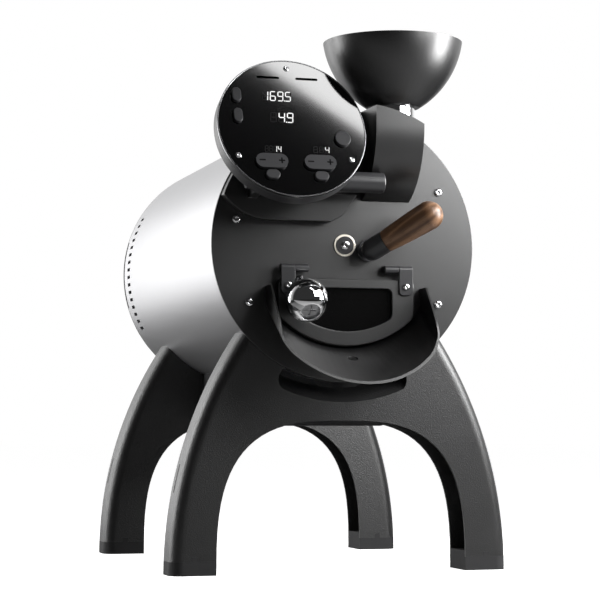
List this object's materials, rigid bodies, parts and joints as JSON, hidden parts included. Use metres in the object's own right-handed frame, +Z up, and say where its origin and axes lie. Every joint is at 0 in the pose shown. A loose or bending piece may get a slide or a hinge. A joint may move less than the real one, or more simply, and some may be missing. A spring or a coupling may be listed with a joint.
{
  "type": "home coffee bean roaster",
  "caption": "Horizontal-drum countertop coffee roaster on two arched stands, with a hinged front door, bean funnel, sampler handle and round tilting display.",
  "frame": {"origin": "on the floor, under the middle of the roaster's box", "axes": "+Z up, -Y towards the front of the faceplate, +X to the right seen from the front; the drum axis lies along Y"},
  "size_m": [0.327, 0.5264, 0.492],
  "materials": {
    "barrel_aluminium": "bead blasted and clear anodised",
    "black_plate": "satin black powder coat",
    "stand_black": "fine textured black powder coat",
    "satin_black": "satin black paint",
    "foot_rubber": "moulded rubber",
    "grey_plastic": "fine spark finish",
    "button_grey": "soft matte",
    "chrome": "mirror polish",
    "bright_steel": "polished",
    "inner_steel": "brushed",
    "dark_steel": "dark satin",
    "brass": "machined",
    "display_glass": "polished black",
    "door_glass": "dark heat-proof glass",
    "walnut": "oiled walnut",
    "circuit_green": "solder mask",
    "belt_black": "toothed belt",
    "mineral_wool": "pressed mineral fibre",
    "socket_black": "moulded"
  },
  "bodies": {
    "roaster": {"body_shell": "barrel_aluminium", "rear_ring": "barrel_aluminium", "rear_cover": "satin_black", "faceplate": "black_plate", "faceplate_screws": "bright_steel", "front_arch": "stand_black", "rear_arch": "stand_black", "foot_front_left": "foot_rubber", "foot_front_right": "foot_rubber", "foot_rear_left": "foot_rubber", "foot_rear_right": "foot_rubber", "underbody_housing": "grey_plastic", "bottom_cover": "grey_plastic", "power_board": "circuit_green", "discharge_spout": "satin_black", "hinge_knuckles": "dark_steel", "shaft_bush": "brass", "bean_probe": "bright_steel", "inlet_hood": "satin_black", "inlet_collar": "chrome", "display_mount": "satin_black", "pivot_barrel": "dark_steel", "drive_belt": "belt_black", "bulkhead": "inner_steel", "drum_motor": "dark_steel", "heater_sleeve": "mineral_wool", "exhaust_duct": "inner_steel", "power_inlet": "socket_black"},
    "funnel": {"funnel": "satin_black"},
    "display": {"display_bracket": "satin_black", "display_housing": "grey_plastic", "display_rim": "bright_steel", "display_glass": "display_glass", "display_board": "circuit_green", "display_screws": "bright_steel"},
    "door": {"door_frame": "black_plate", "door_glass": "door_glass", "hinge_leaves": "dark_steel", "door_screws": "bright_steel", "knob_post": "bright_steel", "ball_knob": "chrome", "knob_screw": "inner_steel"},
    "sampler_bush": {"trier_bush": "dark_steel"},
    "sampler": {"trier_scoop": "bright_steel", "trier_ferrule": "dark_steel", "trier_handle": "walnut"},
    "drum": {"drum": "inner_steel", "drum_shaft": "bright_steel", "drum_pulley": "inner_steel"},
    "motor_pulley": {"motor_pulley": "inner_steel"},
    "exhaust_fan": {"exhaust_fan": "socket_black"},
    "chaff_collector": {"chaff_collector": "inner_steel"},
    "power_switch": {"power_switch": "socket_black"},
    "button_upper": {"button_upper": "button_grey"},
    "button_lower": {"button_lower": "button_grey"},
    "button_round": {"button_round": "button_grey"},
    "button_left": {"button_left": "button_grey"},
    "button_right": {"button_right": "button_grey"},
    "rocker_left": {"rocker_left": "button_grey"},
    "rocker_right": {"rocker_right": "button_grey"}
  },
  "joints": [
    {"name": "drum_spin", "type": "hinge", "parent": "roaster", "child": "drum", "pos_m": [0, -0.17585, 0.304], "axis": [0, 1, 0], "continuous": true},
    {"name": "motor_spin", "type": "hinge", "parent": "roaster", "child": "motor_pulley", "pos_m": [0, -0.17585, 0.226], "axis": [0, 1, 0], "continuous": true},
    {"name": "fan_spin", "type": "hinge", "parent": "roaster", "child": "exhaust_fan", "pos_m": [0, -0.17585, 0.378], "axis": [0, 1, 0], "continuous": true},
    {"name": "door_hinge", "type": "hinge", "parent": "roaster", "child": "door", "pos_m": [0, -0.18205, 0.2816], "axis": [-1, 0, 0], "range_deg": [0, 80]},
    {"name": "display_tilt", "type": "hinge", "parent": "roaster", "child": "display", "pos_m": [-0.0645, -0.21135, 0.3592], "axis": [1, 0, 0], "range_deg": [-12, 20]},
    {"name": "sampler_turn", "type": "hinge", "parent": "roaster", "child": "sampler_bush", "pos_m": [0.0227, -0.17585, 0.2997], "axis": [0, -1, 0], "range_deg": [-100, 20]},
    {"name": "sampler_pull", "type": "slide", "parent": "sampler_bush", "child": "sampler", "axis": [0, -1, 0], "range_m": [0, 0.1]},
    {"name": "funnel_lift", "type": "slide", "parent": "roaster", "child": "funnel", "axis": [0, 0, 1], "range_m": [0, 0.05]},
    {"name": "chaff_pull", "type": "slide", "parent": "roaster", "child": "chaff_collector", "axis": [0, 1, 0], "range_m": [0, 0.08]},
    {"name": "power_rocker", "type": "hinge", "parent": "roaster", "child": "power_switch", "pos_m": [0.074, 0.24715, 0.292], "axis": [1, 0, 0], "range_deg": [0, 8]},
    {"name": "button_upper_press", "type": "slide", "parent": "display", "child": "button_upper", "axis": [0, 0.9397, -0.342], "range_m": [0, 0.0012], "stiffness_N_per_m": 400, "springref_m": -0.001},
    {"name": "button_lower_press", "type": "slide", "parent": "display", "child": "button_lower", "axis": [0, 0.9397, -0.342], "range_m": [0, 0.0012], "stiffness_N_per_m": 400, "springref_m": -0.001},
    {"name": "button_round_press", "type": "slide", "parent": "display", "child": "button_round", "axis": [0, 0.9397, -0.342], "range_m": [0, 0.0012], "stiffness_N_per_m": 400, "springref_m": -0.001},
    {"name": "button_left_press", "type": "slide", "parent": "display", "child": "button_left", "axis": [0, 0.9397, -0.342], "range_m": [0, 0.0012], "stiffness_N_per_m": 400, "springref_m": -0.001},
    {"name": "button_right_press", "type": "slide", "parent": "display", "child": "button_right", "axis": [0, 0.9397, -0.342], "range_m": [0, 0.0012], "stiffness_N_per_m": 400, "springref_m": -0.001},
    {"name": "rocker_left_rock", "type": "hinge", "parent": "display", "child": "rocker_left", "pos_m": [-0.0872, -0.23494, 0.3713], "axis": [0, 0.342, 0.9397], "range_deg": [-3, 3], "stiffness_Nm_per_rad": 0.08},
    {"name": "rocker_right_rock", "type": "hinge", "parent": "display", "child": "rocker_right", "pos_m": [-0.0421, -0.2349, 0.37139], "axis": [0, 0.342, 0.9397], "range_deg": [-3, 3], "stiffness_Nm_per_rad": 0.08}
  ],
  "couplings": [
    {"joint": "motor_spin", "follows": "drum_spin", "ratio": 2.5}
  ]
}
